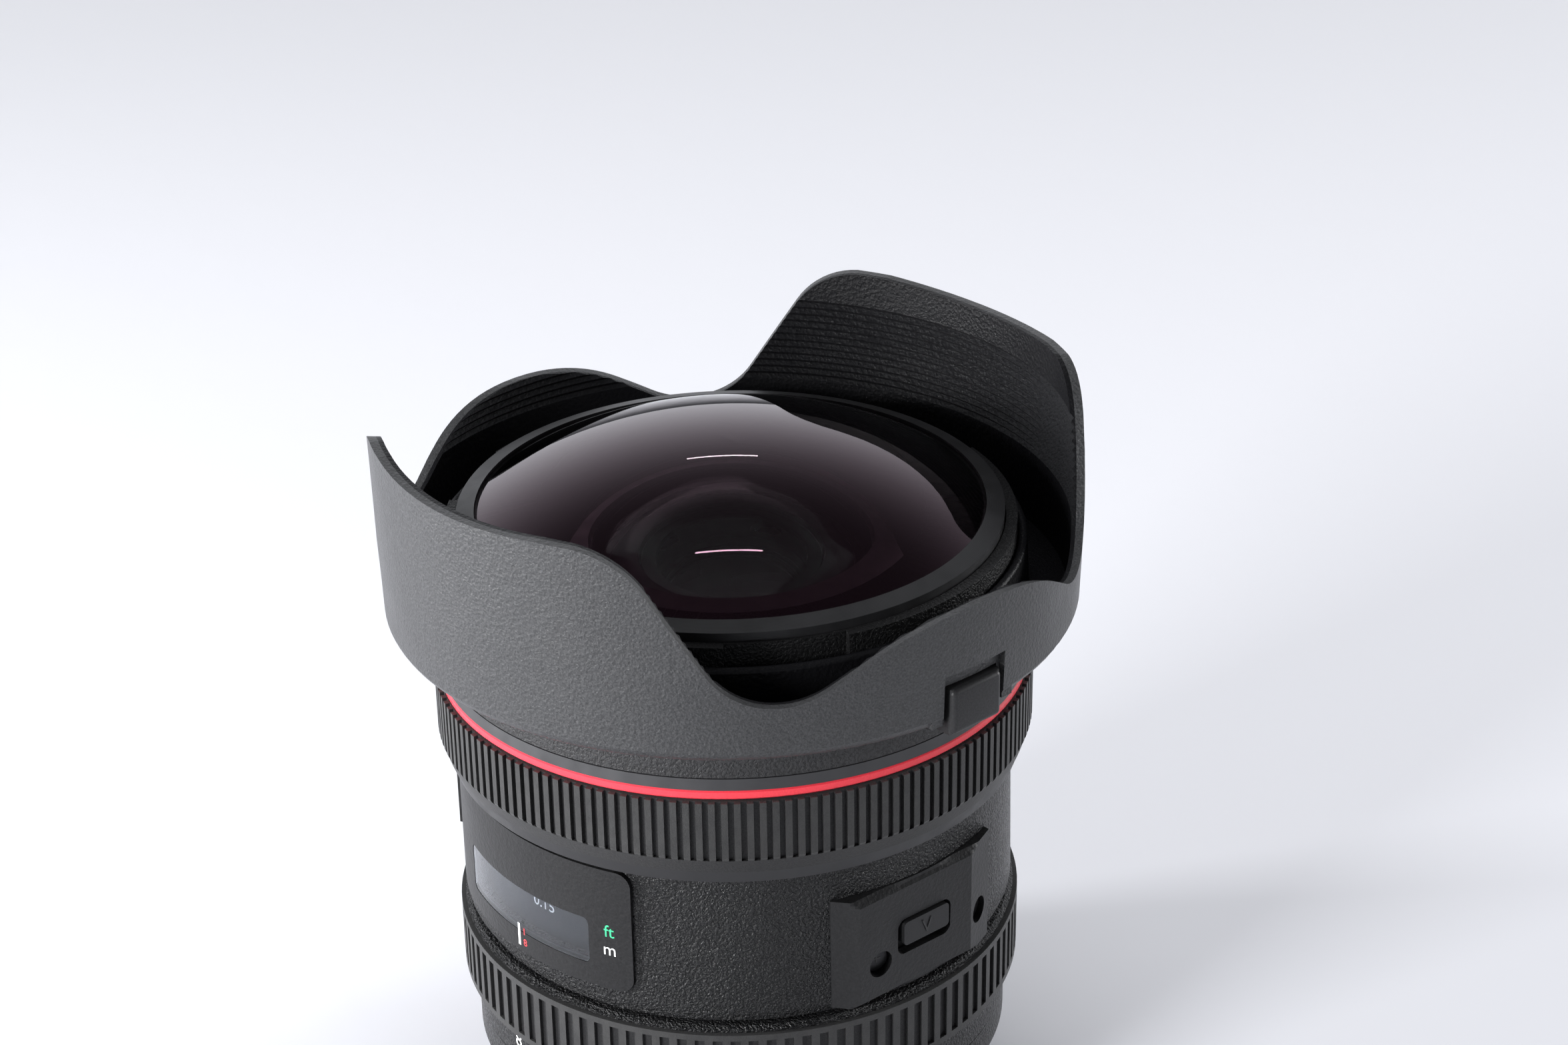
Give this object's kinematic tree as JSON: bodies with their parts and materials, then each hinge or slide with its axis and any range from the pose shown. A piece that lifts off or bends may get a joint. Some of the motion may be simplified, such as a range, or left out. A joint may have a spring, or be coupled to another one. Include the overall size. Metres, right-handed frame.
{
  "type": "fisheye zoom lens",
  "caption": "Short wide camera lens with a domed front glass, fixed petal hood, ribbed focus and zoom rings, distance window, slide switches and a bayonet mount.",
  "frame": {"origin": "centre of the bayonet's flange face, on the optical axis", "axes": "+Z along the optical axis from the mount to the front glass, -Y through the distance window (the lens's top on a camera), +X through the zoom limit switch"},
  "size_m": [0.0904, 0.0908, 0.1031],
  "materials": {
    "hood_plastic": "fine grain",
    "button_plastic": "fine grain",
    "black_paint": "crinkle",
    "satin_black": "satin",
    "red_paint": "satin",
    "rubber": "matte",
    "black_plastic": "satin",
    "inner_black": "matte",
    "scale_clear": "clear",
    "front_glass": "coated",
    "glass": "coated",
    "steel": "bright",
    "dark_screw": "black oxide",
    "mount_steel": "bright turned",
    "grey_metal": "satin",
    "black_metal": "black anodised",
    "brass": "turned",
    "board": "lacquered"
  },
  "bodies": {
    "barrel": {"fixed_barrel": "black_paint", "name_ring": "black_paint", "accent_ring": "red_paint", "trim_ring": "satin_black", "window_panel": "black_plastic", "scale_window": "scale_clear", "limit_panel": "black_plastic", "mode_panel": "black_plastic", "panel_screws": "dark_screw", "rear_barrel": "black_paint", "mount_ring": "mount_steel", "mount_screws": "steel", "dust_seal": "rubber", "rear_baffle": "inner_black", "contact_block": "inner_black", "filter_holder": "black_metal", "guide_tube": "grey_metal", "stator_ring": "brass", "rotor_ring": "grey_metal", "circuit_board": "board"},
    "hood": {"hood": "hood_plastic", "hood_spring": "steel"},
    "hood_button": {"hood_button": "button_plastic"},
    "focus_ring": {"focus_ring": "satin_black", "focus_grip": "rubber", "drive_ring": "grey_metal"},
    "focus_output": {"scale_drum": "black_metal", "roller_ring": "grey_metal"},
    "focus_group": {"focus_cell": "black_metal", "focus_doublet": "glass", "focus_singlet": "glass"},
    "zoom_ring": {"zoom_ring": "black_paint", "zoom_grip": "rubber", "cam_barrel": "grey_metal"},
    "front_group": {"front_cell": "black_metal", "front_bezel": "satin_black", "element_1": "front_glass", "element_2": "glass", "element_3": "glass", "front_rollers": "steel"},
    "zoom_group": {"zoom_cell": "black_metal", "element_7": "glass", "element_8": "glass", "doublet_9": "glass", "element_11": "glass", "doublet_12": "glass", "element_14": "glass", "zoom_rollers": "steel", "aperture_plate": "black_metal", "aperture_motor": "grey_metal"},
    "aperture_ring": {"aperture_ring": "black_metal"},
    "limit_slider": {"limit_slider": "black_plastic"},
    "mode_slider": {"mode_slider": "black_plastic"},
    "blade_1": {"blade_1": "black_metal"},
    "blade_2": {"blade_2": "black_metal"},
    "blade_3": {"blade_3": "black_metal"},
    "blade_4": {"blade_4": "black_metal"},
    "blade_5": {"blade_5": "black_metal"},
    "blade_6": {"blade_6": "black_metal"},
    "blade_7": {"blade_7": "black_metal"}
  },
  "joints": [
    {"name": "hood_twist", "type": "hinge", "parent": "barrel", "child": "hood", "pos_m": [0, 0, 0.0725], "axis": [0, 0, 1], "range_deg": [0, 60]},
    {"name": "hood_release", "type": "slide", "parent": "hood", "child": "hood_button", "axis": [-1, 0, 0], "range_m": [0, 0.001], "stiffness_N_per_m": 500, "springref_m": -0.001, "deforming": ["hood_spring"]},
    {"name": "focus_turn", "type": "hinge", "parent": "barrel", "child": "focus_ring", "pos_m": [0, 0, 0.055], "axis": [0, 0, 1], "range_deg": [0, 120]},
    {"name": "focus_output_turn", "type": "hinge", "parent": "barrel", "child": "focus_output", "pos_m": [0, 0, 0.05], "axis": [0, 0, 1], "range_deg": [-0.05, 60.05]},
    {"name": "focus_group_slide", "type": "slide", "parent": "barrel", "child": "focus_group", "axis": [0, 0, 1], "range_m": [-0.00001, 0.00241]},
    {"name": "zoom_turn", "type": "hinge", "parent": "barrel", "child": "zoom_ring", "pos_m": [0, 0, 0.02], "axis": [0, 0, 1], "range_deg": [-51, 5]},
    {"name": "front_group_slide", "type": "slide", "parent": "barrel", "child": "front_group", "axis": [0, 0, 1], "range_m": [-0.00229, 0.00024]},
    {"name": "zoom_group_slide", "type": "slide", "parent": "barrel", "child": "zoom_group", "axis": [0, 0, 1], "range_m": [-0.00082, 0.00821]},
    {"name": "iris_turn", "type": "hinge", "parent": "zoom_group", "child": "aperture_ring", "pos_m": [0, 0, 0.04], "axis": [0, 0, 1], "range_deg": [0, 40]},
    {"name": "blade_1_swing", "type": "hinge", "parent": "zoom_group", "child": "blade_1", "pos_m": [0.0146, 0, 0.0378], "axis": [0, 0, 1], "range_deg": [-0.05, 28.05]},
    {"name": "blade_2_swing", "type": "hinge", "parent": "zoom_group", "child": "blade_2", "pos_m": [0.0091, 0.01141, 0.0378], "axis": [0, 0, 1], "range_deg": [-0.05, 28.05]},
    {"name": "blade_3_swing", "type": "hinge", "parent": "zoom_group", "child": "blade_3", "pos_m": [-0.00325, 0.01423, 0.0378], "axis": [0, 0, 1], "range_deg": [-0.05, 28.05]},
    {"name": "blade_4_swing", "type": "hinge", "parent": "zoom_group", "child": "blade_4", "pos_m": [-0.01315, 0.00633, 0.0378], "axis": [0, 0, 1], "range_deg": [-0.05, 28.05]},
    {"name": "blade_5_swing", "type": "hinge", "parent": "zoom_group", "child": "blade_5", "pos_m": [-0.01315, -0.00633, 0.0378], "axis": [0, 0, 1], "range_deg": [-0.05, 28.05]},
    {"name": "blade_6_swing", "type": "hinge", "parent": "zoom_group", "child": "blade_6", "pos_m": [-0.00325, -0.01423, 0.0378], "axis": [0, 0, 1], "range_deg": [-0.05, 28.05]},
    {"name": "blade_7_swing", "type": "hinge", "parent": "zoom_group", "child": "blade_7", "pos_m": [0.0091, -0.01141, 0.0378], "axis": [0, 0, 1], "range_deg": [-0.05, 28.05]},
    {"name": "limit_switch", "type": "slide", "parent": "barrel", "child": "limit_slider", "axis": [0, 0, -1], "range_m": [0, 0.0012]},
    {"name": "mode_switch", "type": "slide", "parent": "barrel", "child": "mode_slider", "axis": [0, 0, -1], "range_m": [0, 0.0012]}
  ],
  "couplings": [
    {"joint": "focus_output_turn", "follows": "focus_turn", "ratio": 0.5},
    {"joint": "focus_group_slide", "follows": "focus_turn", "m_per_rad": 0.0011459},
    {"joint": "front_group_slide", "follows": "zoom_turn", "m_per_rad": 0.0025578},
    {"joint": "zoom_group_slide", "follows": "zoom_turn", "m_per_rad": -0.0092082},
    {"joint": "blade_1_swing", "follows": "iris_turn", "ratio": 0.7},
    {"joint": "blade_2_swing", "follows": "iris_turn", "ratio": 0.7},
    {"joint": "blade_3_swing", "follows": "iris_turn", "ratio": 0.7},
    {"joint": "blade_4_swing", "follows": "iris_turn", "ratio": 0.7},
    {"joint": "blade_5_swing", "follows": "iris_turn", "ratio": 0.7},
    {"joint": "blade_6_swing", "follows": "iris_turn", "ratio": 0.7},
    {"joint": "blade_7_swing", "follows": "iris_turn", "ratio": 0.7}
  ]
}
